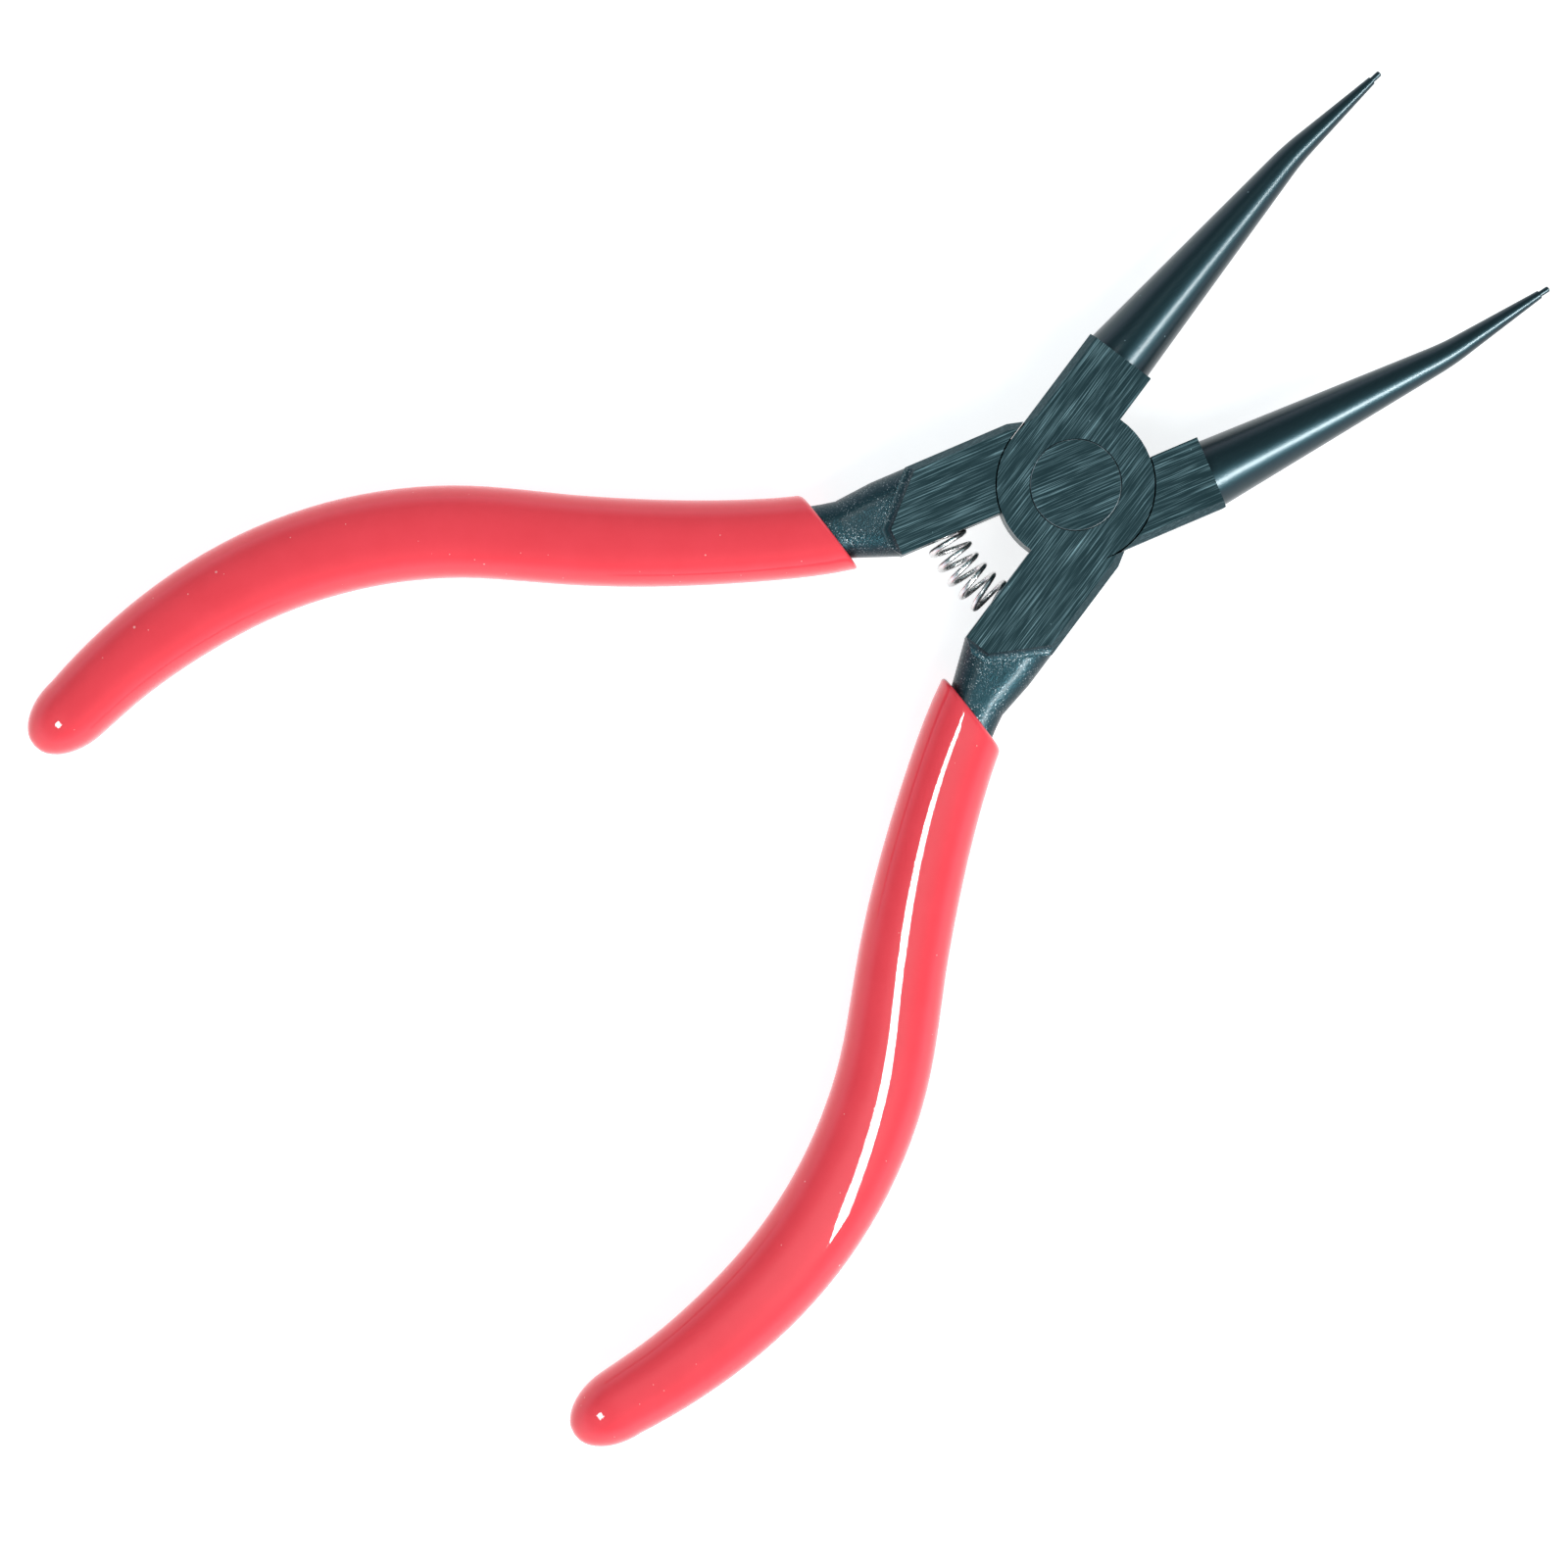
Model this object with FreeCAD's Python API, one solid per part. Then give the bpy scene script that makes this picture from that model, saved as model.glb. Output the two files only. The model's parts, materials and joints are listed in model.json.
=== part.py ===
# Small pliers with round tapering jaws that end in fine pins, for internal retaining rings.
# Modelled open, held on their stops by the return spring.
# +Z is the pivot axis, +Y points to the tips, and the head's lower face lies at z = 0.
# Lengths are in millimetres and angles in degrees.
#
# The front half is drawn closed, its jaw left of the centre line and its handle right of it,
# and is then turned open. The rear half is the same forging turned over about the Y axis.

import math
import os

import FreeCAD, Part

Vector = FreeCAD.Vector
UP = Vector(0, 0, 1)
ORIGIN = Vector(0, 0, 0)

# Head
head_thickness = 8.0
lap_radius = 6.5           # round laps that cross at the pivot
recess_gap = 0.12          # between a lap's rim and the recess that it turns in
lap_gap = 0.06             # between the two lap faces
centre_gap = 0.3           # from the centre line to a half's inner flanks, closed
half_opening = 15.0        # how far each half turns from closed to its stop
stop_gap = 0.06            # between a block's flank and the other half's arm, open

# Jaw block and arm, the parts of the head ground flat on both faces
block_end = 10.7
arm_proud = 0.35           # of the arm's outer flank beyond the lap's rim
arm_end = 15.4
arm_flat_end = 11.2        # where the ground face stops on the outer flank
arm_toe_width = 2.3        # length of the ground face's square end at the inner flank
arm_toe_slope = 1.2        # width of the forged slope from the toe's inner corner to the neck
arm_corner_inset = 0.2     # inside the lap's rim, where the outer flank meets the stop
arm_corner_start = -1.2
arm_corner_end = -3.25
flank_bevel = 0.55         # width of the ground bevels on the outer flanks
flank_bevel_depth = 0.8
cove_radius = 0.9          # round-bottomed run-out at the end of the ground face
cove_height = 0.4          # of the cove's axis above the ground face

# Jaws
jaw_reach = 42.5           # from the pivot to the pins' ends, closed
tip_gap = 0.15             # between the two pins, closed
tip_length = 10.0          # jaw beyond the bend, pin included
tip_lean = 10.0            # of the jaw beyond the bend, towards the centre line
jaw_root_offset = 3.45     # jaw axis from the centre line at the block
jaw_root_diameter = 5.7
jaw_root_depth = 2.0       # of the jaw's round root inside the block
jaw_bend_diameter = 2.15
jaw_end_diameter = 0.72
jaw_bend_radius = 25.0
pin_diameter = 0.5
pin_proud = 0.9
pin_depth = 3.0            # of the pin's tapered root inside the jaw
pin_root_diameter = 0.3    # at the root's inner end
pin_chamfer = 0.08

# Pivot rivet: a sunk head that turns in the front half and a shank riveted over in the rear half
rivet_head_radius = 3.75
rivet_head_height = 1.8
rivet_shank_radius = 2.6
rivet_tail_radius = 3.2
rivet_tail_height = 0.9
running_gap = 0.04         # all round the rivet in the front half
rivet_edge = 0.04          # broken edge of the rivet head and of its seat

# Return spring, a coil that follows a circle about the pivot between two pockets
spring_radius = 11.45
coil_diameter = 3.7
wire_diameter = 0.46
spring_turns = 7.75
spring_phase = 230.0       # where round the coil the wire starts
pocket_depth = 1.9
pocket_gap = 0.3           # round the coil in its pocket
seat_gap = 0.2             # from the coil's ends to the pocket floors

# Handles: centre line from inside the arm to the end of the dip coating, closed
handle_start = (3.9, -12.0)
handle_length = 79.4
neck_length = 3.0
neck_bend = 17.7
neck_bend_radius = 25.0
flare_turn = 11.8
palm_turn = -36.5
palm_radius = 40.0
tail_turn = -22.0
tail_radius = 51.0

# Steel tang inside the coating: distance along the handle as a share of it, width, and
# thickness as a share of the head's
tang_sections = (
    (0.00, 5.00, 0.800),
    (0.15, 4.80, 0.725),
    (0.34, 5.40, 0.725),
    (0.57, 5.70, 0.725),
    (0.76, 5.25, 0.725),
    (0.90, 4.30, 0.675),
    (1.00, 3.50, 0.600),
)
tang_corner = 0.40         # corner radius of a section as a share of its smaller side

# Forged shoulder where the arm narrows to the neck
shoulder_drop = 0.55       # below each face of the head
shoulder_start = 3.8       # before the arm's end
shoulder_length = 3.6      # beyond the arm's end

# Dip coating
coat = 1.0
coat_mouth = 18.2          # from the pivot to the coating's mouth, open
coat_mouth_round = 0.45
coat_end_length = 4.5      # of the rounded end, tang included

# Fineness of the swept shapes
handle_steps = 16
round_end_steps = 7
bend_steps = 8
points_per_turn = 16
close_to = 1e-4            # how near a vertex lies to the plane that it is looked for on

mid_height = head_thickness / 2
block_outer = lap_radius
arm_outer = lap_radius + arm_proud
arm_corner = (lap_radius - arm_corner_inset, arm_corner_start)
shoulder_thickness = head_thickness - 2 * shoulder_drop
recess_radius = lap_radius + recess_gap


def turned(shape, angle):
    copy = shape.copy()
    copy.rotate(ORIGIN, UP, angle)
    return copy


def turned_over(shape):
    copy = shape.copy()
    copy.rotate(Vector(0, 0, mid_height), Vector(0, 1, 0), 180)
    return copy


def prism(points, low, high):
    corners = [Vector(x, y, low) for x, y in points]
    outline = Part.makePolygon(corners + corners[:1])
    return Part.Face(outline).extrude(Vector(0, 0, high - low))


def disc(radius, low, high):
    return Part.makeCylinder(radius, high - low, Vector(0, 0, low))


def along(start, heading, stretches, distance):
    # Point and heading at a distance along joined stretches, each (length, turn).
    x, y = start
    for length, turn in stretches:
        step = min(distance, length)
        after = heading + turn * step / length
        if turn:
            radius = length / math.radians(turn)
            x += radius * (math.sin(math.radians(after)) - math.sin(math.radians(heading)))
            y -= radius * (math.cos(math.radians(after)) - math.cos(math.radians(heading)))
        else:
            x += step * math.cos(math.radians(heading))
            y += step * math.sin(math.radians(heading))
        heading = after
        distance -= step
        if distance <= 0:
            break
    return Vector(x, y, mid_height), heading


def direction(heading):
    return Vector(math.cos(math.radians(heading)), math.sin(math.radians(heading)), 0)


def rounded_section(centre, heading, width, thickness, corner):
    # Upright rounded rectangle square to the heading.
    side = direction(heading - 90)
    quarter = corner * (1 - math.sqrt(0.5))

    def at(across, height):
        return centre + side * across + UP * height

    edges = []
    signs = ((1, 1), (-1, 1), (-1, -1), (1, -1))
    for index, (sx, sz) in enumerate(signs):
        next_sx, next_sz = signs[(index + 1) % 4]
        half_width = width / 2
        half_height = thickness / 2
        on_side = at(sx * half_width, sz * (half_height - corner))
        on_face = at(sx * (half_width - corner), sz * half_height)
        middle = at(sx * (half_width - quarter), sz * (half_height - quarter))
        ends = (on_side, on_face) if sx * sz > 0 else (on_face, on_side)
        edges.append(Part.Arc(ends[0], middle, ends[1]).toShape())
        if sx * sz > 0:
            onward = at(next_sx * (half_width - corner), next_sz * half_height)
        else:
            onward = at(next_sx * half_width, next_sz * (half_height - corner))
        edges.append(Part.LineSegment(ends[1], onward).toShape())
    return Part.Wire(edges)


def edges_where(shape, test):
    return [edge for edge in shape.Edges if all(test(vertex.Point) for vertex in edge.Vertexes)]


def jaw_block():
    outline = [
        (-centre_gap, 0),
        (-centre_gap, block_end),
        (-block_outer, block_end),
        (-block_outer, 0),
    ]
    return prism(outline, 0, head_thickness)


def flank_bevels(points, side):
    # Wedges that take the bevels off an outer flank, at both faces of the head.
    wedges = []
    for (x0, y0), (x1, y1) in zip(points, points[1:]):
        run = Vector(x1 - x0, y1 - y0, 0)
        out = Vector(run.y, -run.x, 0).normalize() * side
        start = Vector(x0, y0, 0)
        for level, sign in ((0, 1), (head_thickness, -1)):
            toe = start + UP * level
            corners = [
                toe - out * flank_bevel,
                toe + out * flank_bevel - UP * sign * flank_bevel_depth,
                toe + out * flank_bevel + UP * sign * 2 * flank_bevel_depth,
            ]
            wedges.append(Part.Face(Part.makePolygon(corners + corners[:1])).extrude(run))
    return wedges


def ground_end():
    # Edge where the ground face stops, from the outer flank to the inner one.
    toe = centre_gap + arm_toe_width
    return [(arm_outer, -arm_flat_end), (toe, -arm_end), (centre_gap, -arm_end)]


def cove_offset():
    return math.sqrt(cove_radius ** 2 - cove_height ** 2)


def arm_outline():
    # The arm runs on past the ground face to the bottom of the cove.
    (x0, y0), (x1, y1), corner = ground_end()
    slope = math.atan((y1 - y0) / (x1 - x0))
    past = cove_offset()
    outer_end = y0 - past / math.cos(slope)
    toe_end = y1 - past
    toe_start = x0 + (toe_end - outer_end) / math.tan(slope)
    return [
        (centre_gap, 0),
        (centre_gap, -arm_end),
        (centre_gap + arm_toe_slope, toe_end),
        (toe_start, toe_end),
        (arm_outer, outer_end),
        (arm_outer, arm_corner_end),
        arm_corner,
        (arm_corner[0] + arm_corner[1], 0),
    ]


def arm():
    # The other half's block stands against this arm at the stop.
    grown = [
        (centre_gap, 0),
        (block_outer + stop_gap, 0),
        (block_outer + stop_gap, block_end),
        (centre_gap, block_end),
    ]
    other_block = turned(prism(grown, 0, head_thickness), -2 * half_opening)
    return prism(arm_outline(), 0, head_thickness).cut(other_block)


def handle_stretches():
    neck_bend_length = neck_bend_radius * math.radians(neck_bend)
    palm_length = palm_radius * math.radians(-palm_turn)
    tail_length = tail_radius * math.radians(-tail_turn)
    flare_length = handle_length - neck_length - neck_bend_length - palm_length - tail_length
    return [
        (neck_length, 0),
        (neck_bend_length, neck_bend),
        (flare_length, flare_turn),
        (palm_length, palm_turn),
        (tail_length, tail_turn),
    ]


def tang_size(share):
    # Width and thickness of the tang, on a smooth curve through its named sections.
    last = len(tang_sections) - 1
    index = 0
    while index < last - 1 and share > tang_sections[index + 1][0]:
        index += 1
    before, here, there, beyond = (
        tang_sections[max(0, min(last, index + step))] for step in (-1, 0, 1, 2)
    )
    span = there[0] - here[0]
    t = (share - here[0]) / span
    sizes = []
    for column in (1, 2):
        slope_here = (there[column] - before[column]) / (there[0] - before[0]) * span
        slope_there = (beyond[column] - here[column]) / (beyond[0] - here[0]) * span
        value = (2 * t ** 3 - 3 * t ** 2 + 1) * here[column] + (t ** 3 - 2 * t ** 2 + t) * slope_here
        value += (3 * t ** 2 - 2 * t ** 3) * there[column] + (t ** 3 - t ** 2) * slope_there
        sizes.append(value)
    width, share_of_head = sizes
    return width, share_of_head * head_thickness


def handle_section(distance, extra, shrink=1.0):
    centre, heading = along(handle_start, -90, handle_stretches(), distance)
    width, thickness = tang_size(min(1, distance / handle_length))
    corner = tang_corner * min(width, thickness) + extra
    return rounded_section(centre, heading, (width + 2 * extra) * shrink,
                           (thickness + 2 * extra) * shrink, corner * shrink)


def shoulder():
    # Forged transition from the arm's full width to the neck.
    x = (centre_gap + arm_outer) / 2
    width = arm_outer - centre_gap
    corner = tang_corner * tang_sections[0][1]
    wires = []
    for depth in (arm_end - shoulder_start, arm_end):
        middle = Vector(x, -depth, mid_height)
        wires.append(rounded_section(middle, -90, width, shoulder_thickness, corner))
    wires.append(handle_section(arm_end + shoulder_length + handle_start[1], 0))
    return Part.makeLoft(wires, True, True)


def handle_loft(first, last, extra):
    # The handle's shape between two distances, grown by extra on every side, with a round end.
    round_length = coat_end_length - coat + extra
    straight_end = last - round_length
    body = []
    for index in range(handle_steps + 1):
        distance = first + (straight_end - first) * index / handle_steps
        body.append(handle_section(distance, extra))
    cap = []
    for index in range(round_end_steps):
        angle = math.radians(90 * index / round_end_steps)
        distance = straight_end + round_length * math.sin(angle)
        cap.append(handle_section(distance, extra, math.cos(angle)))
    end = along(handle_start, -90, handle_stretches(), last)[0]
    cap.append(Part.Vertex(end))
    return Part.makeLoft(body, True, False).fuse(Part.makeLoft(cap, True, True))


def tang():
    return handle_loft(0, handle_length - coat, 0)


def cove():
    # Round-bottomed run-out along the end of the ground faces, above and below.
    height = head_thickness + cove_height
    tools = []
    points = ground_end()
    for (x0, y0), (x1, y1) in zip(points, points[1:]):
        run = Vector(x1 - x0, y1 - y0, 0)
        length = run.Length
        ahead = run.normalize()
        out = Vector(-ahead.y, ahead.x, 0)
        start = Vector(x0, y0, height) + out * cove_offset() - ahead * cove_radius
        tools.append(Part.makeCylinder(cove_radius, length + 2 * cove_radius, start, ahead))
    upper = tools[0].fuse(tools[1:])
    lower = upper.mirror(Vector(0, 0, mid_height), UP)
    return upper.fuse(lower)


def jaw_path():
    pin_radius = pin_diameter / 2
    lean = math.radians(tip_lean)
    tip = Vector(-(tip_gap / 2 + pin_radius / math.cos(lean)), jaw_reach, 0)
    bend = tip - Vector(math.sin(lean), math.cos(lean), 0) * tip_length
    root = Vector(-jaw_root_offset, block_end, 0)
    lower = bend - root
    root_lean = math.degrees(math.atan2(lower.x, lower.y))
    turn = tip_lean - root_lean
    trimmed = jaw_bend_radius * math.tan(math.radians(turn / 2))
    stretches = [
        (lower.Length - trimmed, 0),
        (jaw_bend_radius * math.radians(turn), -turn),
        (tip_length - trimmed, 0),
    ]
    return (root.x, root.y), 90 - root_lean, stretches


def jaw():
    # Two straight cones joined by a short bend, from inside the block to the pin's root.
    start, heading, stretches = jaw_path()
    lower, bend, upper = (length for length, turn in stretches)
    middle = lower + bend / 2
    end = lower + bend + upper - pin_proud
    bend_distances = [lower + bend * index / bend_steps for index in range(bend_steps + 1)]
    distances = [0] + bend_distances + [end]
    circles = []
    for distance in distances:
        if distance < middle:
            share = distance / middle
            diameter = jaw_root_diameter + (jaw_bend_diameter - jaw_root_diameter) * share
        else:
            share = (distance - middle) / (end - middle)
            diameter = jaw_bend_diameter + (jaw_end_diameter - jaw_bend_diameter) * share
        centre, facing = along(start, heading, stretches, distance)
        circles.append(Part.Wire(Part.makeCircle(diameter / 2, centre, direction(facing))))
    taper = Part.makeLoft(circles, True, True)
    ahead = direction(heading)
    sunk = Vector(start[0], start[1], mid_height) - ahead * jaw_root_depth
    root = Part.makeCylinder(jaw_root_diameter / 2, jaw_root_depth, sunk, ahead)
    return taper.fuse(root)


def tip_pin():
    start, heading, stretches = jaw_path()
    total = sum(length for length, turn in stretches)
    end, facing = along(start, heading, stretches, total)
    ahead = direction(facing)
    jaw_end = end - ahead * pin_proud
    point_start = end - ahead * pin_chamfer
    radius = pin_diameter / 2
    root = Part.makeCone(pin_root_diameter / 2, radius, pin_depth, jaw_end - ahead * pin_depth, ahead)
    shaft = Part.makeCylinder(radius, pin_proud - pin_chamfer, jaw_end, ahead)
    point = Part.makeCone(radius, radius - pin_chamfer, pin_chamfer, point_start, ahead)
    return root.fuse([shaft, point]).removeSplitter()


def rivet_in_front(gap):
    # The rivet's head and shank inside the front half, grown by gap for the bore.
    head_low = head_thickness - rivet_head_height
    head = disc(rivet_head_radius + gap, head_low - gap, head_thickness)
    shank = disc(rivet_shank_radius + gap, mid_height, head_low)
    return head.fuse(shank)


def pivot_rivet():
    head = rivet_in_front(0)
    rim = edges_where(head, lambda p: abs(p.z - head_thickness) < close_to)
    head = head.makeChamfer(rivet_edge, rim)
    shank = disc(rivet_shank_radius, rivet_tail_height, mid_height)
    tail = Part.makeCone(rivet_tail_radius, rivet_shank_radius, rivet_tail_height)
    return head.fuse([shank, tail]).removeSplitter()


def front_bore():
    bore = rivet_in_front(running_gap)
    through = disc(rivet_shank_radius + running_gap, mid_height, head_thickness)
    seat = Part.makeCone(rivet_head_radius + running_gap, rivet_head_radius + running_gap + rivet_edge,
                         rivet_edge, Vector(0, 0, head_thickness - rivet_edge))
    return bore.fuse([through, seat])


def rear_bore():
    shank = disc(rivet_shank_radius, 0, mid_height)
    tail = Part.makeCone(rivet_tail_radius, rivet_shank_radius, rivet_tail_height)
    return shank.fuse(tail)


def spring_pocket():
    radius = coil_diameter / 2 + pocket_gap
    mouth = Vector(0, -spring_radius, mid_height)
    return Part.makeCylinder(radius, centre_gap + pocket_depth, mouth, Vector(1, 0, 0))


def forging():
    # One half of the pliers without its pivot bore, closed: jaw left, handle right, lap on top.
    lap_low = mid_height + lap_gap / 2
    block = jaw_block().cut(flank_bevels([(-block_outer, 0), (-block_outer, block_end)], -1))
    arm_flank = [(arm_outer, -arm_end), (arm_outer, arm_corner_end), arm_corner]
    ground_arm = arm().cut(flank_bevels(arm_flank, 1))
    body = block.fuse([ground_arm, jaw(), shoulder(), tang()])
    body = body.cut(cove())
    body = body.cut(disc(recess_radius, 0, lap_low))
    body = body.fuse(disc(lap_radius, lap_low, head_thickness))
    body = body.cut([spring_pocket(), tip_pin()])
    return body.removeSplitter()


def grip():
    # Coating over the tang, cut square across the open pliers at its mouth.
    outer = handle_loft(neck_length, handle_length, coat)
    outer = turned(outer, half_opening)
    size = 2 * handle_length
    below = Part.makeBox(2 * size, size, size, Vector(-size, -coat_mouth - size, -size / 2))
    outer = outer.common(below)
    mouth = edges_where(outer, lambda p: abs(p.y + coat_mouth) < close_to)
    outer = outer.makeFillet(coat_mouth_round, mouth)
    return outer.cut(turned(tang(), half_opening))


def return_spring():
    # Round wire coiled about a circular arc centred on the pivot.
    coil_radius = (coil_diameter - wire_diameter) / 2
    inner_reach = math.degrees(math.asin(centre_gap / spring_radius))
    pocket_reach = math.degrees((pocket_depth - seat_gap - wire_diameter / 2) / spring_radius)
    reach = half_opening + inner_reach + pocket_reach
    count = round(spring_turns * points_per_turn)
    points = []
    for index in range(count + 1):
        share = index / count
        place = math.radians(reach * (2 * share - 1))
        turn = math.radians(spring_phase + 360 * spring_turns * share)
        out = spring_radius + coil_radius * math.cos(turn)
        height = mid_height + coil_radius * math.sin(turn)
        points.append(Vector(out * math.sin(place), -out * math.cos(place), height))
    line = Part.BSplineCurve()
    line.interpolate(points)
    path = Part.Wire(line.toShape())
    start = line.value(line.FirstParameter)
    ahead = line.tangent(line.FirstParameter)[0]
    section = Part.Wire(Part.makeCircle(wire_diameter / 2, start, ahead))
    return path.makePipeShell([section], True, True)


def build():
    closed_half = forging()
    front = turned(closed_half, half_opening)
    rear = turned_over(front)
    pin = turned(tip_pin(), half_opening)
    coating = grip()
    return {
        "front_half": front.cut(front_bore()),
        "rear_half": rear.cut(rear_bore()),
        "pivot_rivet": pivot_rivet(),
        "return_spring": return_spring(),
        "front_grip": coating,
        "rear_grip": turned_over(coating),
        "front_tip_pin": pin,
        "rear_tip_pin": turned_over(pin),
    }


os.makedirs("parts", exist_ok=True)
for name, shape in build().items():
    shape.exportStep("parts/" + name + ".step")
    print(name, "valid", shape.isValid(), "solids", len(shape.Solids), "volume", round(shape.Volume, 2))
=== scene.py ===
import json
import math

import bmesh
import bpy
from mathutils import Matrix, Vector

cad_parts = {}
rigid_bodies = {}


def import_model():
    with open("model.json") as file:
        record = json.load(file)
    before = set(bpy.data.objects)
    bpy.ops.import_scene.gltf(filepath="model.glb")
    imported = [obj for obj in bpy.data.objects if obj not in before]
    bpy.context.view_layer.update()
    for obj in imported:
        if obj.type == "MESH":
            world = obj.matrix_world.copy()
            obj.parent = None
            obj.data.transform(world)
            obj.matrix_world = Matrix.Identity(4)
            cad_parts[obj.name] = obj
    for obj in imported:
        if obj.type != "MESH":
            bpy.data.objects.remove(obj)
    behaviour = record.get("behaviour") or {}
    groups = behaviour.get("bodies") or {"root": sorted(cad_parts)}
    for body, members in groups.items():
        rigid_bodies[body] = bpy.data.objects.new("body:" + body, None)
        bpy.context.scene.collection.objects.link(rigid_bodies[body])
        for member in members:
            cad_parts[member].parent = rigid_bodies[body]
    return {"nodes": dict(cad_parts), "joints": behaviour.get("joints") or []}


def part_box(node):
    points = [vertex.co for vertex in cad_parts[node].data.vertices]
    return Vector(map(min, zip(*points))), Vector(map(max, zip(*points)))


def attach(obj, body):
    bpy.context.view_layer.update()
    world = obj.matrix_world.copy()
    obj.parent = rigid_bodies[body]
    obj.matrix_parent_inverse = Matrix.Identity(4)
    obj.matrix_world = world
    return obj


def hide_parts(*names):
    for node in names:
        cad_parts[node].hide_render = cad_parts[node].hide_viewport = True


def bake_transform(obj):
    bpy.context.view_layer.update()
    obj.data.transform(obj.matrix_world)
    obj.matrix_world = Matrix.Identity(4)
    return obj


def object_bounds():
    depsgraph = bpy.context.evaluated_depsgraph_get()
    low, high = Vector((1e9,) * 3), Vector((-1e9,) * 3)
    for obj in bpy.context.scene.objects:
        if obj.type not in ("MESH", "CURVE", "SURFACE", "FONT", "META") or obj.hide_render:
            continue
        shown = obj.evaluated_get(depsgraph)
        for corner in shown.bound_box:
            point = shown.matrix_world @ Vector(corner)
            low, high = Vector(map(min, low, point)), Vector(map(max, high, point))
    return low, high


for leftover in list(bpy.data.objects):
    bpy.data.objects.remove(leftover)

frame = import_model()
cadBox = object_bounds()

mm = 0.001
joinDistance = 0.002 * mm      # points nearer than this are one
up = Vector((0, 0, 1))
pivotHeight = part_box("pivot_rivet")[1].z / 2
halfOpening = frame["joints"][0]["range_deg"][1] / 2
print("frame loaded,", len(frame["nodes"]), "CAD pieces")


def newObject(name, bm):
    mesh = bpy.data.meshes.new(name)
    bm.to_mesh(mesh)
    bm.free()
    made = bpy.data.objects.new(name, mesh)
    bpy.context.scene.collection.objects.link(made)
    return made


def smoothShade(made, sharpDegrees):
    stored = made.data.attributes.get("custom_normal")
    if stored:
        made.data.attributes.remove(stored)      # left over from the loose triangles
    made.data.shade_smooth()
    made.data.set_sharp_from_angle(angle=math.radians(sharpDegrees))


def mergedNode(node):
    # the node's own shape, its triangles joined so that it can be shaded smooth
    bm = bmesh.new()
    bm.from_mesh(frame["nodes"][node].data)
    bmesh.ops.remove_doubles(bm, verts=bm.verts, dist=joinDistance)
    return bm


# node groups: each effect is built once and placed in the materials with its own values

def addSocket(group, name, isInput, value=None):
    kind = "NodeSocketVector" if name == "Vector" else "NodeSocketFloat"
    side = "INPUT" if isInput else "OUTPUT"
    socket = group.interface.new_socket(name=name, in_out=side, socket_type=kind)
    if value is not None:
        socket.default_value = value


def startGroup(name, inputs, outputs):
    group = bpy.data.node_groups.new(name, "ShaderNodeTree")
    addSocket(group, "Vector", True)
    for socketName, value in inputs.items():
        addSocket(group, socketName, True, value)
    for socketName in outputs:
        addSocket(group, socketName, False)
    return group, group.nodes.new("NodeGroupInput"), group.nodes.new("NodeGroupOutput")


def addNode(tree, kind, **settings):
    node = tree.nodes.new(kind)
    for name, value in settings.items():
        if name in node.inputs:
            node.inputs[name].default_value = value
        else:
            setattr(node, name, value)
    return node


def mathNode(tree, operation, first, second):
    node = tree.nodes.new("ShaderNodeMath")
    node.operation = operation
    for socket, value in zip(node.inputs, (first, second)):
        if isinstance(value, (int, float)):
            socket.default_value = value
        else:
            tree.links.new(value, socket)
    return node.outputs[0]


def noiseValue(tree, vector, scale, detail, roughness=0.5):
    noise = addNode(tree, "ShaderNodeTexNoise", Scale=scale, Detail=detail, Roughness=roughness)
    tree.links.new(vector, noise.inputs["Vector"])
    return noise.outputs["Fac"]


def spread(tree, value, ends):
    # 0 up to the first end, 1 from the second
    ranged = addNode(tree, "ShaderNodeMapRange")
    ranged.inputs["From Min"].default_value = ends[0]
    ranged.inputs["From Max"].default_value = ends[1]
    tree.links.new(value, ranged.inputs["Value"])
    return ranged.outputs["Result"]


def stretched(tree, vector, factors):
    scaled = addNode(tree, "ShaderNodeVectorMath", operation="MULTIPLY")
    scaled.inputs[1].default_value = factors
    tree.links.new(vector, scaled.inputs[0])
    return scaled.outputs[0]


# a pair named Shown is the noise that starts to show and the noise that shows in full
effectValues = {
    "coarseGrind": (9.0, 0.16, 9.0),      # marks per millimetre in x, y and z
    "coarseShown": (0.53, 0.74),
    "coarseDepth": 0.7,
    "fineGrind": (15.0, 0.35, 15.0),
    "fineShown": (0.53, 0.75),
    "fineShare": 0.45,
    "fineDepth": 0.3,
    "grindPatches": (0.6, 0.25, 0.6),
    "grindPatchesShown": (0.1, 0.62),
    "sparkSpots": (0.5, 0.1),             # far from a grain's middle, and near it
    "sparkNoise": 9.0,
    "sparkShown": (0.50, 0.66),
    "sparkPatches": 0.6,
    "sparkPatchesShown": (0.3, 0.7),
    "grainDepth": 0.6,
    "clouds": 0.35,
}


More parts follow.
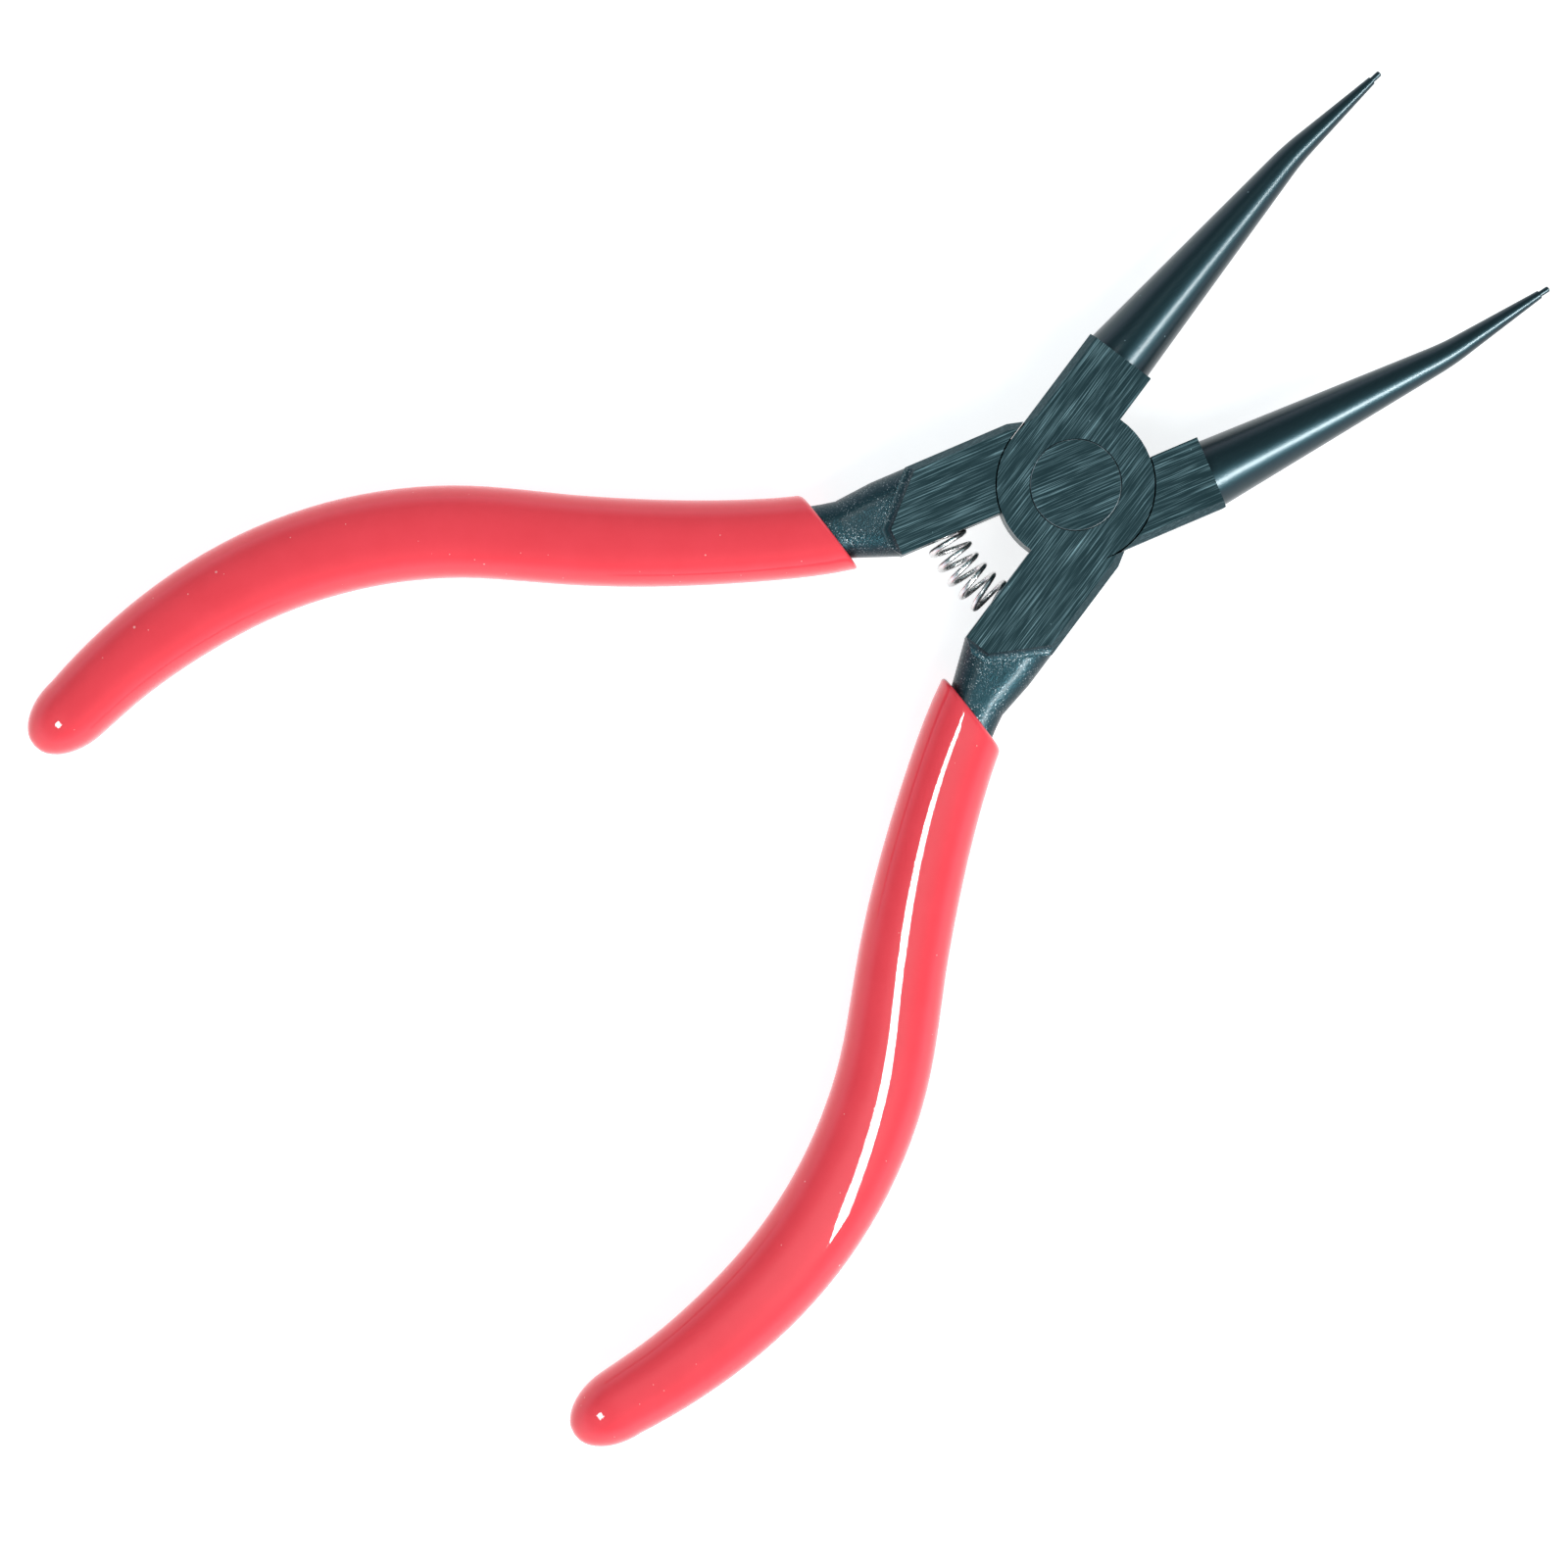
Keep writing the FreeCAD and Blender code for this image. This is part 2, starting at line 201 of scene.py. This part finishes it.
def makeGrindMarks():
    # long scratches along y, broken up along their length
    group, inside, outside = startGroup("grindMarks", {"Coarse": 1.0}, ("Marks", "Height"))
    vector = inside.outputs["Vector"]
    coarse = noiseValue(group, stretched(group, vector, effectValues["coarseGrind"]), 1.0, 1.0)
    fine = noiseValue(group, stretched(group, vector, effectValues["fineGrind"]), 1.0, 1.0)
    patches = noiseValue(group, stretched(group, vector, effectValues["grindPatches"]), 1.0, 2.0)
    coarseSeen = spread(group, coarse, effectValues["coarseShown"])
    fineSeen = spread(group, fine, effectValues["fineShown"])
    scratches = mathNode(group, "MULTIPLY", coarseSeen, inside.outputs["Coarse"])
    hairs = mathNode(group, "MULTIPLY", fineSeen, effectValues["fineShare"])
    both = mathNode(group, "ADD", scratches, hairs)
    marks = mathNode(group, "MULTIPLY", both, spread(group, patches, effectValues["grindPatchesShown"]))
    coarseDepth = mathNode(group, "MULTIPLY", coarse, effectValues["coarseDepth"])
    fineDepth = mathNode(group, "MULTIPLY", fine, effectValues["fineDepth"])
    depth = mathNode(group, "ADD", coarseDepth, fineDepth)
    group.links.new(marks, outside.inputs["Marks"])
    group.links.new(depth, outside.inputs["Height"])
    return group


def makeForgeGrainAndGlints():
    # the pitted grain of blasted steel, with painted glints: bright spots in the colour where the grain would
    # sparkle
    group, inside, outside = startGroup("forgeGrainAndGlints", {"Size": 0.2}, ("Sparkle", "Height"))
    vector = inside.outputs["Vector"]
    cells = addNode(group, "ShaderNodeTexVoronoi")
    group.links.new(vector, cells.inputs["Vector"])
    grainScale = mathNode(group, "DIVIDE", 1.0, inside.outputs["Size"])
    group.links.new(grainScale, cells.inputs["Scale"])
    fine = noiseValue(group, vector, effectValues["sparkNoise"], 2.0, 0.7)
    patches = noiseValue(group, vector, effectValues["sparkPatches"], 1.0)
    middles = spread(group, cells.outputs["Distance"], effectValues["sparkSpots"])
    spots = mathNode(group, "MULTIPLY", middles, spread(group, fine, effectValues["sparkShown"]))
    shown = spread(group, patches, effectValues["sparkPatchesShown"])
    sparkle = mathNode(group, "MULTIPLY", spots, shown)
    pits = mathNode(group, "MULTIPLY", cells.outputs["Distance"], effectValues["grainDepth"])
    height = mathNode(group, "ADD", pits, fine)
    group.links.new(sparkle, outside.inputs["Sparkle"])
    group.links.new(height, outside.inputs["Height"])
    return group


def makeDust():
    # sparse pale specks and soft cloudy variation
    group, inside, outside = startGroup("dust", {"Spacing": 3.0, "Speck": 0.06}, ("Specks", "Clouds"))
    vector = inside.outputs["Vector"]
    cells = addNode(group, "ShaderNodeTexVoronoi")
    group.links.new(vector, cells.inputs["Vector"])
    group.links.new(mathNode(group, "DIVIDE", 1.0, inside.outputs["Spacing"]), cells.inputs["Scale"])
    share = mathNode(group, "DIVIDE", inside.outputs["Speck"], inside.outputs["Spacing"])
    specks = mathNode(group, "LESS_THAN", cells.outputs["Distance"], share)
    clouds = noiseValue(group, vector, effectValues["clouds"], 3.0, 0.6)
    group.links.new(specks, outside.inputs["Specks"])
    group.links.new(clouds, outside.inputs["Clouds"])
    return group


effects = {"grind": makeGrindMarks(), "grain": makeForgeGrainAndGlints(), "dust": makeDust()}
print("node groups:", len(effects))


class Finish:
    # a material with its shader and its millimetre coordinates, ready for effects

    def __init__(self, name, turn=0.0, **shader):
        self.material = bpy.data.materials.new(name)
        self.material.use_nodes = True
        self.tree = self.material.node_tree
        self.shader = self.tree.nodes["Principled BSDF"]
        for socket, value in shader.items():
            self.shader.inputs[socket.replace("_", " ")].default_value = value
        coordinates = self.tree.nodes.new("ShaderNodeTexCoord")
        mapping = self.tree.nodes.new("ShaderNodeMapping")
        mapping.inputs["Rotation"].default_value = (0, 0, math.radians(turn))
        mapping.inputs["Scale"].default_value = (1 / mm, 1 / mm, 1 / mm)
        self.tree.links.new(coordinates.outputs["Object"], mapping.inputs["Vector"])
        self.vector = mapping.outputs["Vector"]

    def effect(self, name, **values):
        node = self.tree.nodes.new("ShaderNodeGroup")
        node.node_tree = effects[name]
        for socket, value in values.items():
            node.inputs[socket].default_value = value
        self.tree.links.new(self.vector, node.inputs["Vector"])
        return node.outputs

    def colours(self, mask, first, second):
        # the base colour goes from first to second as the mask goes from 0 to 1
        mix = self.tree.nodes.new("ShaderNodeMix")
        mix.data_type = "RGBA"
        self.tree.links.new(mask, mix.inputs["Factor"])
        for socket, colour in ((mix.inputs[6], first), (mix.inputs[7], second)):
            if isinstance(colour, tuple):
                socket.default_value = colour + (1.0,)
            else:
                self.tree.links.new(colour, socket)
        self.tree.links.new(mix.outputs[2], self.shader.inputs["Base Color"])
        return mix.outputs[2]

    def roughness(self, mask, ends):
        ranged = self.tree.nodes.new("ShaderNodeMapRange")
        ranged.inputs["To Min"].default_value = ends[0]
        ranged.inputs["To Max"].default_value = ends[1]
        self.tree.links.new(mask, ranged.inputs["Value"])
        self.tree.links.new(ranged.outputs["Result"], self.shader.inputs["Roughness"])

    def share(self, mask, amount):
        return mathNode(self.tree, "MULTIPLY", mask, amount)

    def larger(self, first, second):
        return mathNode(self.tree, "MAXIMUM", first, second)

    def bump(self, height, depth):
        node = self.tree.nodes.new("ShaderNodeBump")
        node.inputs["Strength"].default_value = 1.0
        node.inputs["Distance"].default_value = depth
        self.tree.links.new(height, node.inputs["Height"])
        self.tree.links.new(node.outputs["Normal"], self.shader.inputs["Normal"])


blackSteelValues = {
    "dark": (0.022, 0.046, 0.053),
    "bare": (0.21, 0.33, 0.36),
    # edge: rubbed steel, and partly a painted highlight on the rivet's rim
    "edge": (0.55, 0.64, 0.66),
    "cone": (0.003, 0.019, 0.025),
    "coneBare": (0.20, 0.30, 0.33),
    "neck": (0.010, 0.032, 0.040),
    # neckSparkle: painted glints, the colour of the bright spots on the neck
    "neckSparkle": (0.60, 0.66, 0.68),
    "groundRough": (0.26, 0.42),
    "forgedRough": (0.3, 0.5),
    "jawRough": (0.38, 0.46),
    "neckRough": (0.25, 0.5),
    "groundSpecks": 0.8,
    "flankMarks": 0.4,
    "jawMarks": 0.05,
    "jawSpecks": 0.7,
    "edgeWearAndGlintShown": (0.35, 0.6),
    "grindDepth": 0.012 * mm,
    "jawDepth": 0.0008 * mm,
    "grainDepth": 0.035 * mm,
}


def groundFinish(name, turn):
    # the marks run along the closed half, which lies turned when the pliers are open
    values = blackSteelValues
    finish = Finish(name, turn=turn, Metallic=1.0)
    marks = finish.effect("grind", Coarse=0.75)
    dust = finish.effect("dust", Spacing=1.6, Speck=0.05)
    worn = finish.larger(marks["Marks"], finish.share(dust["Specks"], values["groundSpecks"]))
    finish.colours(worn, values["dark"], values["bare"])
    finish.roughness(marks["Height"], values["groundRough"])
    finish.bump(marks["Height"], values["grindDepth"])
    return finish.material


def flankFinish():
    values = blackSteelValues
    finish = Finish("blackedFlank", Metallic=1.0)
    marks = finish.effect("grind", Coarse=0.4)
    dust = finish.effect("dust", Spacing=1.2, Speck=0.05)
    finish.colours(finish.share(marks["Marks"], values["flankMarks"]), values["dark"], values["bare"])
    finish.roughness(dust["Clouds"], values["forgedRough"])
    finish.bump(marks["Height"], values["grindDepth"])
    return finish.material


def jawFinish():
    values = blackSteelValues
    finish = Finish("smoothJaw", Metallic=1.0, Coat_Weight=0.65, Coat_Roughness=0.28)
    dust = finish.effect("dust", Spacing=1.3, Speck=0.06)
    marks = finish.effect("grind", Coarse=0.3)
    streaks = finish.share(marks["Marks"], values["jawMarks"])
    worn = finish.larger(streaks, finish.share(dust["Specks"], values["jawSpecks"]))
    finish.colours(worn, values["cone"], values["coneBare"])
    finish.roughness(dust["Clouds"], values["jawRough"])
    finish.bump(marks["Height"], values["jawDepth"])
    return finish.material


def neckFinish():
    values = blackSteelValues
    finish = Finish("blastedNeckAndGlints", Metallic=1.0, Coat_Weight=0.3, Coat_Roughness=0.3)
    grain = finish.effect("grain", Size=0.16)
    # painted glints: bright spots in the neck's colour stand for its sparkle
    finish.colours(grain["Sparkle"], values["neck"], values["neckSparkle"])
    finish.roughness(grain["Height"], values["neckRough"])
    finish.bump(grain["Height"], values["grainDepth"])
    return finish.material


def wornEdgeAndGlintFinish():
    # a handled edge, rubbed bright in patches; the lighter colour is partly a painted highlight, the glint
    # along the rim
    values = blackSteelValues
    finish = Finish("wornEdgeAndGlint", Metallic=1.0)
    dust = finish.effect("dust", Spacing=0.8, Speck=0.2)
    rubbedAndGlinting = spread(finish.tree, dust["Clouds"], values["edgeWearAndGlintShown"])
    finish.colours(rubbedAndGlinting, values["dark"], values["edge"])
    finish.roughness(dust["Clouds"], values["forgedRough"])
    finish.bump(dust["Clouds"], values["grindDepth"])
    return finish.material


finishes = {
    "groundFront": groundFinish("groundFaceFront", -halfOpening),
    "groundRear": groundFinish("groundFaceRear", halfOpening),
    "flank": flankFinish(),
    "jaw": jawFinish(),
    "neck": neckFinish(),
    # the rivet's rim: rubbed wear and a painted highlight
    "edge": wornEdgeAndGlintFinish(),
}
print("steel finishes:", len(finishes))

# steel halves, rivet and tip pins: the CAD shapes with clean shading and their own finishes
steelParts = {
    "forgedHalfFront": ("front_half", "front", "blackened_steel"),
    "forgedHalfRear": ("rear_half", "rear", "blackened_steel"),
    "pivotRivet": ("pivot_rivet", "rear", "rivet_steel"),
    "tipPinFront": ("front_tip_pin", "front", "pin_steel"),
    "tipPinRear": ("rear_tip_pin", "rear", "pin_steel"),
}

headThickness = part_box("pivot_rivet")[1].z
headValues = {
    "blockEnd": 10.7 * mm,      # from the pivot along a closed half, where the jaw starts
    "groundEnd": -11.5 * mm,    # behind the pivot, where the steel below the ground face is forged neck
    "sharpAngle": 24.0,
    "closeTo": 0.02 * mm,
    "levelFace": 0.999,         # a face whose normal has at least this much z lies level
    "uprightFace": 0.1,         # and with less than this it stands
}


def finishFaces(made, isFront):
    # ground flats, plain flanks, smooth jaw and blasted neck with painted glints
    mesh = made.data
    names = ("groundFront" if isFront else "groundRear", "flank", "jaw", "neck")
    for name in names:
        mesh.materials.append(finishes[name])
    closing = Matrix.Rotation(math.radians(-halfOpening if isFront else halfOpening), 3, "Z")
    for face in mesh.polygons:
        place = closing @ face.center
        level = abs(face.normal.z) > headValues["levelFace"]
        onFace = min(abs(place.z), abs(place.z - headThickness)) < headValues["closeTo"]
        if level and onFace:
            face.material_index = 0
        elif place.y > headValues["blockEnd"] - headValues["closeTo"]:
            face.material_index = 2
        elif place.y < headValues["groundEnd"]:
            face.material_index = 3
        else:
            face.material_index = 1


def finishRivet(made):
    # ground ends, and round each a rim painted lighter: rubbed wear and a painted highlight
    made.data.materials.append(finishes["groundRear"])
    made.data.materials.append(finishes["edge"])
    for face in made.data.polygons:
        isRim = headValues["uprightFace"] < abs(face.normal.z) < headValues["levelFace"]
        face.material_index = 1 if isRim else 0


steel = {}
for name, (node, body, slot) in steelParts.items():
    made = newObject(name, mergedNode(node))
    smoothShade(made, headValues["sharpAngle"])
    if "Half" in name:
        finishFaces(made, body == "front")
    elif node == "pivot_rivet":
        finishRivet(made)
    else:
        made.data.materials.append(finishes["jaw"])
    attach(made, body)
    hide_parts(node)
    steel[name] = made
print("steel parts:", len(steel))

gripValues = {
    "aroundRing": 64,
    "squareness": 2.45,        # 2 is an ellipse, more is squarer
    "step": 1.4 * mm,
    "lip": 0.42 * mm,          # rounding of the mouth
    "lipSteps": 6,
    "wall": 1.03 * mm,
    "mouthLean": 30.0,         # of the handle at the mouth
    "turnIn": 9.0 * mm,        # over which the rings turn from the mouth to square across the handle
    "inward": 0.1 * mm,        # from the lip's rounding to the first station
    "follow": 0.6,             # how fast the heading takes up the grip's own bend
    "reach": 9.0 * mm,         # a cut further from the station than this is another stretch of the grip
    "endRound": 4.4 * mm,
    "endSteps": 12,
    "red": (0.88, 0.062, 0.082),
    "deepRed": (0.82, 0.050, 0.066),
    "speck": (0.95, 0.45, 0.42),
    "speckShare": 0.7,
    "rough": (0.3, 0.42),
    "waves": 0.02 * mm,
    "sharpAngle": 40.0,
}


def sectionAt(bm, at, ahead):
    # middle and half sizes of what a plane square to ahead cuts out of the grip
    cut = bm.copy()
    everything = cut.verts[:] + cut.edges[:] + cut.faces[:]
    found = bmesh.ops.bisect_plane(cut, geom=everything, plane_co=at, plane_no=ahead)
    side = Vector((-ahead.y, ahead.x, 0))
    points = [item.co - at for item in found["geom_cut"] if isinstance(item, bmesh.types.BMVert)]
    points = [point for point in points if point.length < gripValues["reach"]]
    across = [point.dot(side) for point in points]
    heights = [point.z for point in points]
    cut.free()
    middle = at + side * (max(across) + min(across)) / 2
    middle.z = at.z + (max(heights) + min(heights)) / 2
    return middle, (max(across) - min(across)) / 2, (max(heights) - min(heights)) / 2


def stationMatrix(middle, ahead, halfWidth, halfHeight):
    side = Vector((-ahead.y, ahead.x, 0))
    matrix = Matrix((side * halfWidth, up * halfHeight, ahead)).transposed().to_4x4()
    matrix.translation = middle
    return matrix


def gripStations(node):
    # stations down the grip from its mouth: middle, direction, half width and half height
    bm = mergedNode(node)
    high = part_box(node)[1]
    mouth = [v.co for v in bm.verts if v.co.y > high.y - gripValues["lip"]]
    at = sum(mouth, Vector()) / len(mouth)
    at.y = high.y - gripValues["lip"] - gripValues["inward"]
    lean = math.radians(gripValues["mouthLean"])
    heading = Vector((math.copysign(math.sin(lean), at.x), -math.cos(lean), 0))
    tip = min((v.co for v in bm.verts), key=lambda co: co.y).copy()
    stations = []
    travelled = 0.0
    while (tip - at).length > gripValues["endRound"]:
        share = min(1.0, travelled / gripValues["turnIn"])
        share = share * share * (3 - 2 * share)
        ahead = Vector((0, -1, 0)).lerp(heading, share).normalized()
        middle, halfWidth, halfHeight = sectionAt(bm, at, ahead)
        if len(stations) > 1:
            moved = (middle - stations[-2][0]).normalized()
            heading = heading.lerp(moved, gripValues["follow"]).normalized()
        stations.append((middle, ahead, halfWidth, halfHeight))
        at = middle + heading * gripValues["step"]
        travelled += gripValues["step"]
    bm.free()
    tip.z = stations[-1][0].z
    return stations, tip, high.y


def gripRings(stations, tip, mouthLevel):
    # one ring after another from deep inside the hole, over the lip and down to the rounded end
    lip, wall = gripValues["lip"], gripValues["wall"]
    first, second = stations[0], stations[1]
    back = (first[0] - second[0]) * ((mouthLevel - first[0].y) / (first[0].y - second[0].y))
    mouth, ahead, halfWidth, halfHeight = first[0] + back, first[1], first[2], first[3]
    depth = (first[0] - mouth).length
    rings = [(middle, facing, w - wall, h - wall) for middle, facing, w, h in reversed(stations)]
    rings.append((mouth, ahead, halfWidth - wall, halfHeight - wall))
    for index in range(gripValues["lipSteps"] + 1):
        angle = math.radians(90 * index / gripValues["lipSteps"])
        inset = lip * (1 - math.sin(angle))
        middle = mouth.lerp(first[0], lip * (1 - math.cos(angle)) / depth)
        rings.append((middle, ahead, halfWidth - inset, halfHeight - inset))
    rings += stations
    last = stations[-1]
    run = tip - last[0]
    for index in range(1, gripValues["endSteps"]):
        angle = math.radians(90 * index / gripValues["endSteps"])
        shrink = math.cos(angle)
        rings.append((last[0] + run * math.sin(angle), run.normalized(), last[2] * shrink, last[3] * shrink))
    return rings


def dippedGrip(name, node):
    stations, tip, mouthLevel = gripStations(node)
    rings = gripRings(stations, tip, mouthLevel)
    bm = bmesh.new()
    bmesh.ops.create_circle(bm, segments=gripValues["aroundRing"], radius=1.0)
    power = 2 / gripValues["squareness"]
    for vert in bm.verts:
        vert.co.x = math.copysign(abs(vert.co.x) ** power, vert.co.x)
        vert.co.y = math.copysign(abs(vert.co.y) ** power, vert.co.y)
    before = stationMatrix(*rings[0])
    ring = bm.verts[:]
    edges = bm.edges[:]
    innermost = ring
    bmesh.ops.transform(bm, matrix=before, verts=ring)
    for station in rings[1:]:
        grown = bmesh.ops.extrude_edge_only(bm, edges=edges)["geom"]
        ring = [item for item in grown if isinstance(item, bmesh.types.BMVert)]
        edges = [item for item in grown if isinstance(item, bmesh.types.BMEdge)]
        edges = [edge for edge in edges if edge.verts[0] in ring and edge.verts[1] in ring]
        after = stationMatrix(*station)
        bmesh.ops.transform(bm, matrix=after @ before.inverted(), verts=ring)
        before = after
    bmesh.ops.pointmerge(bm, verts=ring, merge_co=tip)
    bmesh.ops.pointmerge(bm, verts=innermost, merge_co=rings[0][0])
    bmesh.ops.recalc_face_normals(bm, faces=bm.faces)
    made = newObject(name, bm)
    smoothShade(made, gripValues["sharpAngle"])
    made.data.materials.append(finishes["dip"])
    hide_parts(node)
    return made


def dipFinish():
    finish = Finish("dippedCoating", Specular_IOR_Level=0.05, Coat_Weight=0.65, Coat_Roughness=0.03)
    dust = finish.effect("dust", Spacing=2.9, Speck=0.11)
    fine = finish.effect("dust", Spacing=1.4, Speck=0.05)
    tint = finish.colours(dust["Clouds"], gripValues["deepRed"], gripValues["red"])
    specks = finish.share(finish.larger(dust["Specks"], fine["Specks"]), gripValues["speckShare"])
    finish.colours(specks, tint, gripValues["speck"])
    finish.roughness(dust["Clouds"], gripValues["rough"])
    finish.bump(dust["Clouds"], gripValues["waves"])
    return finish.material


finishes["dip"] = dipFinish()
grips = {}
for name, node, body in (("dippedGripFront", "front_grip", "front"), ("dippedGripRear", "rear_grip", "rear")):
    grips[name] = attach(dippedGrip(name, node), body)
print("grips:", len(grips))

springValues = {
    "turns": 7.75,
    "coilRadius": 1.62 * mm,
    "wireRadius": 0.23 * mm,
    "stepsPerTurn": 28,
    "aroundWire": 10,
    "phase": 230.0,
    "endGap": 2.0,             # degrees at each end that the coil stops short of the CAD one
    "blendReach": 0.7,         # share of the blend's length that the coil takes up
    "dull": (0.55, 0.54, 0.53),
    "bright": (0.88, 0.87, 0.86),
    "rough": (0.12, 0.3),
    "grainDepth": 0.006 * mm,
    "sharpAngle": 50.0,
}


def coilSpring(name):
    # a straight coil spun from a small circle, then bent along its circle about the pivot
    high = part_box("return_spring")[1]
    radii = [Vector((v.co.x, v.co.y)).length for v in frame["nodes"]["return_spring"].data.vertices]
    arcRadius = (min(radii) + max(radii)) / 2
    reach = math.degrees(math.asin(high.x / arcRadius)) - springValues["endGap"]
    turns = springValues["turns"]
    steps = round(turns * springValues["stepsPerTurn"])
    halfLength = arcRadius * math.radians(reach)
    axis = Vector((0, -arcRadius, pivotHeight))
    bm = bmesh.new()
    bmesh.ops.create_circle(bm, segments=springValues["aroundWire"], radius=springValues["wireRadius"],
                            cap_ends=True)
    start = Matrix.Translation(axis - Vector((halfLength, 0, 0)))
    start = start @ Matrix.Rotation(math.radians(springValues["phase"]), 4, "X")
    start = start @ Matrix.Translation((0, springValues["coilRadius"], 0))
    bmesh.ops.transform(bm, matrix=start, verts=bm.verts)
    bmesh.ops.spin(bm, geom=bm.verts[:] + bm.edges[:] + bm.faces[:], cent=axis, axis=(1, 0, 0),
                   dvec=(2 * halfLength / steps, 0, 0), angle=math.radians(360 * turns), steps=steps)
    bmesh.ops.remove_doubles(bm, verts=bm.verts, dist=joinDistance)
    for vert in bm.verts:
        bend = Matrix.Rotation(vert.co.x / arcRadius, 3, "Z")
        vert.co = bend @ Vector((0, vert.co.y, vert.co.z))
    bmesh.ops.recalc_face_normals(bm, faces=bm.faces)
    made = newObject(name, bm)
    smoothShade(made, springValues["sharpAngle"])
    made.data.materials.append(finishes["spring"])
    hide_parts("return_spring")
    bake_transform(made)
    return made


def springFinish():
    finish = Finish("brightWire", Metallic=1.0)
    dust = finish.effect("dust", Spacing=0.5, Speck=0.04)
    grain = finish.effect("grain", Size=0.1)
    finish.colours(dust["Clouds"], springValues["dull"], springValues["bright"])
    finish.roughness(grain["Height"], springValues["rough"])
    finish.bump(grain["Height"], springValues["grainDepth"])
    return finish.material


finishes["spring"] = springFinish()
spring = coilSpring("returnSpring")
print("return spring done")

stageValues = {
    "floor": (0.55, 0.55, 0.552),
    "floorGlow": 1.45,
    "floorSize": 3.0,
    "floorDrop": 0.05 * mm,      # below what lies on it
    "floorVariation": 0.02,
    "zenith": (0.25, 0.36, 0.39),
    "tent": (1.55, 1.5, 1.7),
    "tentEnds": (0.05, 0.55),    # height in the sky, 1 overhead, from which it dims and where it has
    "cameraDistance": 0.72,
    "cameraTurn": 51.9,
    "frameWidth": 129.6 * mm,
    "frameMiddle": (4.55 * mm, -34.05 * mm),
}


def buildFloor():
    bm = bmesh.new()
    bmesh.ops.create_grid(bm, x_segments=2, y_segments=2, size=stageValues["floorSize"] / 2)
    bmesh.ops.translate(bm, vec=(0, 0, cadBox[0].z - stageValues["floorDrop"]), verts=bm.verts)
    floor = newObject("paleFloor", bm)
    finish = Finish("paleSweep", Roughness=0.9, Specular_IOR_Level=0.0)
    clouds = finish.effect("dust", Spacing=50.0, Speck=0.0)
    lighter = tuple(part + stageValues["floorVariation"] for part in stageValues["floor"])
    tint = finish.colours(clouds["Clouds"], stageValues["floor"], lighter)
    finish.tree.links.new(tint, finish.shader.inputs["Emission Color"])
    finish.shader.inputs["Emission Strength"].default_value = stageValues["floorGlow"]
    floor.data.materials.append(finish.material)


def buildSky():
    # a light tent: dim overhead, bright towards the horizon
    world = bpy.data.worlds.new("lightTent")
    bpy.context.scene.world = world
    world.use_nodes = True
    tree = world.node_tree
    background = tree.nodes["Background"]
    coordinates = tree.nodes.new("ShaderNodeTexCoord")
    split = tree.nodes.new("ShaderNodeSeparateXYZ")
    ramp = tree.nodes.new("ShaderNodeValToRGB")
    tree.links.new(coordinates.outputs["Generated"], split.inputs[0])
    tree.links.new(split.outputs["Z"], ramp.inputs["Fac"])
    tree.links.new(ramp.outputs["Color"], background.inputs["Color"])
    low, high = ramp.color_ramp.elements
    low.position, high.position = stageValues["tentEnds"]
    low.color = stageValues["tent"] + (1.0,)
    high.color = stageValues["zenith"] + (1.0,)
    background.inputs["Strength"].default_value = 1.0


# each light's place, size, watts and aim; one with no aim faces straight down
lightValues = {
    "key": ((0.7, -0.05, 0.75), (0.9, 0.9), 11, (25 * mm, -45 * mm, 8 * mm)),
    "gripStrip": ((0.091, -0.0275, 0.25), (0.265, 0.017), 1.4, None),
    "jawStrip": ((0.40, 0.03, 0.48), (0.5, 0.10), 10, (0, 20 * mm, 4 * mm)),
    "neckStrip": ((-0.16, -0.12, 0.5), (0.3, 0.07), 0.7, (0, -15 * mm, 4 * mm)),
    "endSpot": ((0.0, -0.45, 0.45), (0.1, 0.1), 1.2, (0, -75 * mm, 4 * mm)),
}
stripTurn = 11.8                 # of the light that faces straight down


def softbox(name):
    # the key only lights, and the others only show as gloss
    place, size, power, aim = lightValues[name]
    data = bpy.data.lights.new(name, "AREA")
    data.shape = "RECTANGLE"
    data.size, data.size_y = size
    data.energy = power
    light = bpy.data.objects.new(name, data)
    bpy.context.scene.collection.objects.link(light)
    light.location = place
    if aim is None:
        light.rotation_euler = (0, 0, math.radians(stripTurn))
    else:
        light.rotation_euler = (Vector(place) - Vector(aim)).to_track_quat("Z", "Y").to_euler()
    isKey = name == "key"
    light.visible_camera = False
    light.visible_glossy = not isKey
    light.visible_diffuse = isKey
    return light


def receiveOnly(light, pieces):
    # the flagged light falls on these pieces alone
    group = bpy.data.collections.new(light.name + "Falls")
    for piece in pieces:
        group.objects.link(piece)
    light.light_linking.receiver_collection = group


def buildLights():
    softbox("key")
    metal = list(steel.values()) + [spring]
    receiveOnly(softbox("gripStrip"), [grips["dippedGripFront"]])
    receiveOnly(softbox("jawStrip"), metal)
    receiveOnly(softbox("neckStrip"), metal)
    receiveOnly(softbox("endSpot"), list(grips.values()))


def buildCamera():
    data = bpy.data.cameras.new("camera")
    data.sensor_width = 36.0
    data.lens = data.sensor_width * stageValues["cameraDistance"] / stageValues["frameWidth"]
    data.clip_start = 0.01
    camera = bpy.data.objects.new("camera", data)
    bpy.context.scene.collection.objects.link(camera)
    x, y = stageValues["frameMiddle"]
    camera.location = (x, y, pivotHeight + stageValues["cameraDistance"])
    camera.rotation_euler = (0, 0, math.radians(stageValues["cameraTurn"]))
    bpy.context.scene.camera = camera


buildFloor()
buildSky()
buildLights()
buildCamera()
bpy.context.scene.view_settings.view_transform = "Standard"
print("floor, light and camera done")
